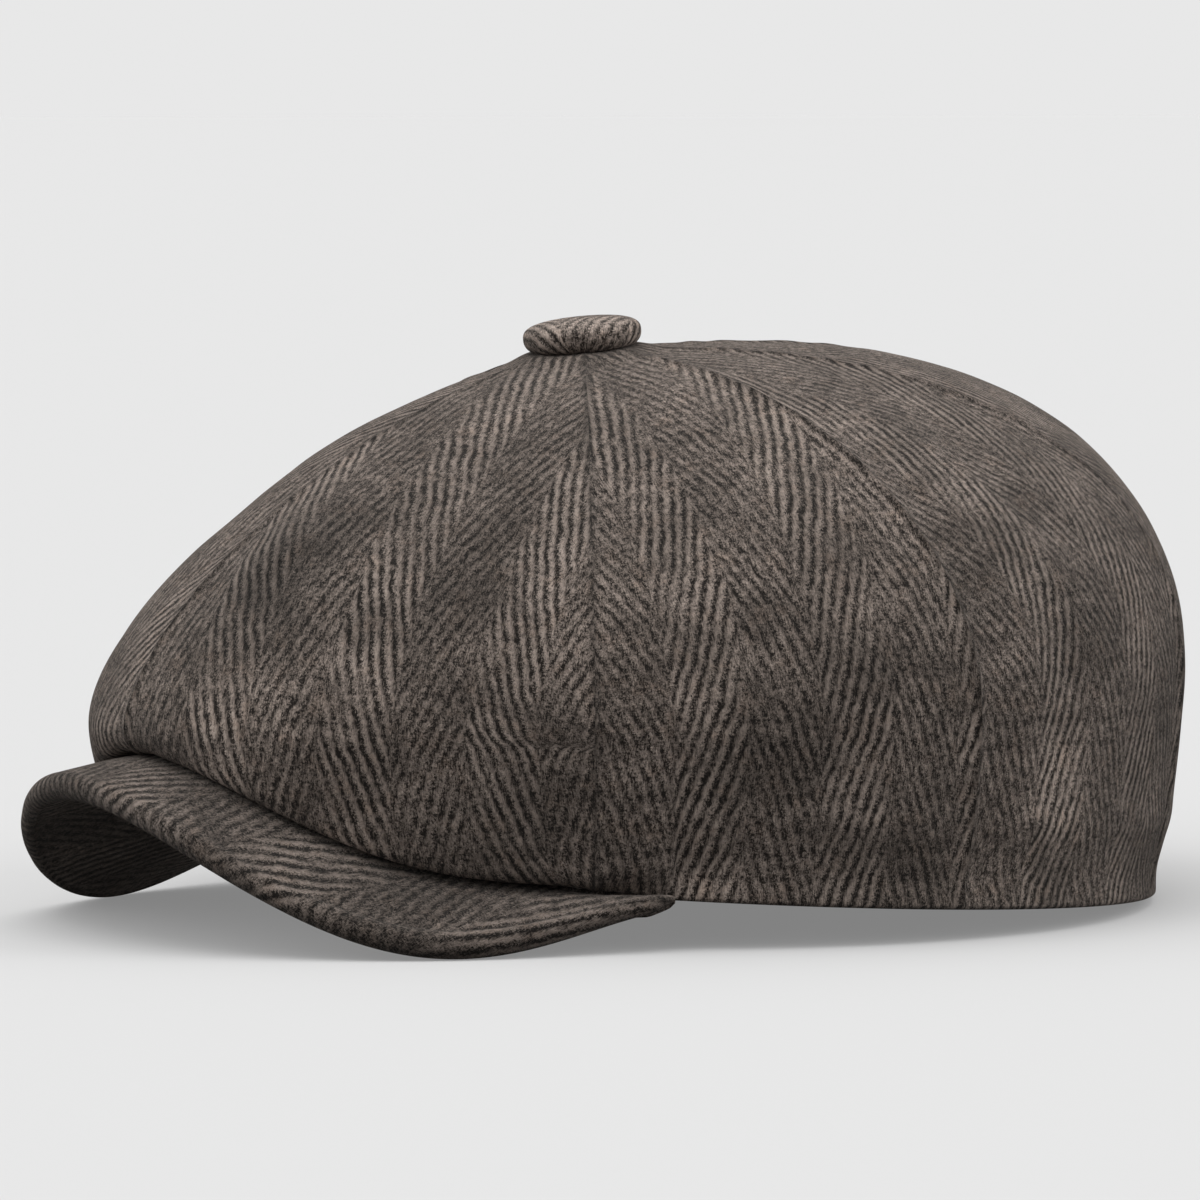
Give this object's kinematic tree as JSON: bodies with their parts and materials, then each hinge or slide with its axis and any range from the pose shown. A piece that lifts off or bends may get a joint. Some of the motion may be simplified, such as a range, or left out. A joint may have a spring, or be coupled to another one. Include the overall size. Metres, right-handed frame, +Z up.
{
  "type": "newsboy cap",
  "caption": "Soft panelled newsboy cap in herringbone wool with a curved padded visor, a covered button on top, a lining and a sweatband.",
  "frame": {"origin": "middle of the cap's box in plan, on the surface the cap lies on", "axes": "+Z up, -Y to the front (visor), +X to the wearer's left"},
  "size_m": [0.192, 0.2412, 0.1158],
  "materials": {
    "wool": "brushed herringbone wool tweed",
    "lining": "satin lining",
    "sweatband": "grosgrain sweatband",
    "elastic": "ribbed elastic",
    "tape": "cotton hem tape",
    "padding": "felt padding",
    "board": "polyethylene visor board",
    "steel": "pressed steel button parts",
    "cord": "thread shank",
    "label": "woven label, blank"
  },
  "bodies": {
    "root": {"apex_facing": "lining", "button_anchor": "steel", "button_back_plate": "steel", "button_cover": "wool", "button_shank": "cord", "button_shell": "steel", "care_label": "label", "crown_gore_back_left": "wool", "crown_gore_back_right": "wool", "crown_gore_front_left": "wool", "crown_gore_front_right": "wool", "crown_gore_rear_left": "wool", "crown_gore_rear_right": "wool", "crown_gore_side_left": "wool", "crown_gore_side_right": "wool", "hem_tape_left": "tape", "hem_tape_right": "tape", "lining_gore_back_left": "lining", "lining_gore_back_right": "lining", "lining_gore_front_left": "lining", "lining_gore_front_right": "lining", "lining_gore_rear_left": "lining", "lining_gore_rear_right": "lining", "lining_gore_side_left": "lining", "lining_gore_side_right": "lining", "sweatband": "sweatband", "sweatband_elastic": "elastic", "visor_board": "board", "visor_padding": "padding", "visor_top_cover": "wool", "visor_under_cover": "wool"}
  },
  "joints": []
}
